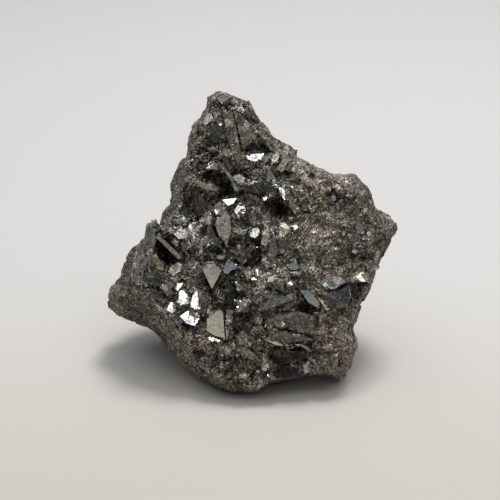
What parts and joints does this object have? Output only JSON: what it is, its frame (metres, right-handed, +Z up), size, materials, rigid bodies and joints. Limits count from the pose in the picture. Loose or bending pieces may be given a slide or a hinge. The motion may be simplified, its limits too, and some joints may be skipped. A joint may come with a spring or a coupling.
{
  "type": "skutterudite specimen",
  "caption": "Star-shaped piece of metallic ore leaning back on a flat base, its front crowded with flat-faced crystals, pits and ledges.",
  "frame": {"origin": "middle of the bounding box, on the plane it rests on", "axes": "+X to the right across the crystal face, +Y from the crystal face to the back, +Z up"},
  "size_m": [0.069, 0.0462, 0.0636],
  "materials": {
    "ore": "steel-grey metallic crystals in rough granular ore"
  },
  "bodies": {
    "root": {"skutterudite_specimen": "ore"}
  },
  "joints": []
}
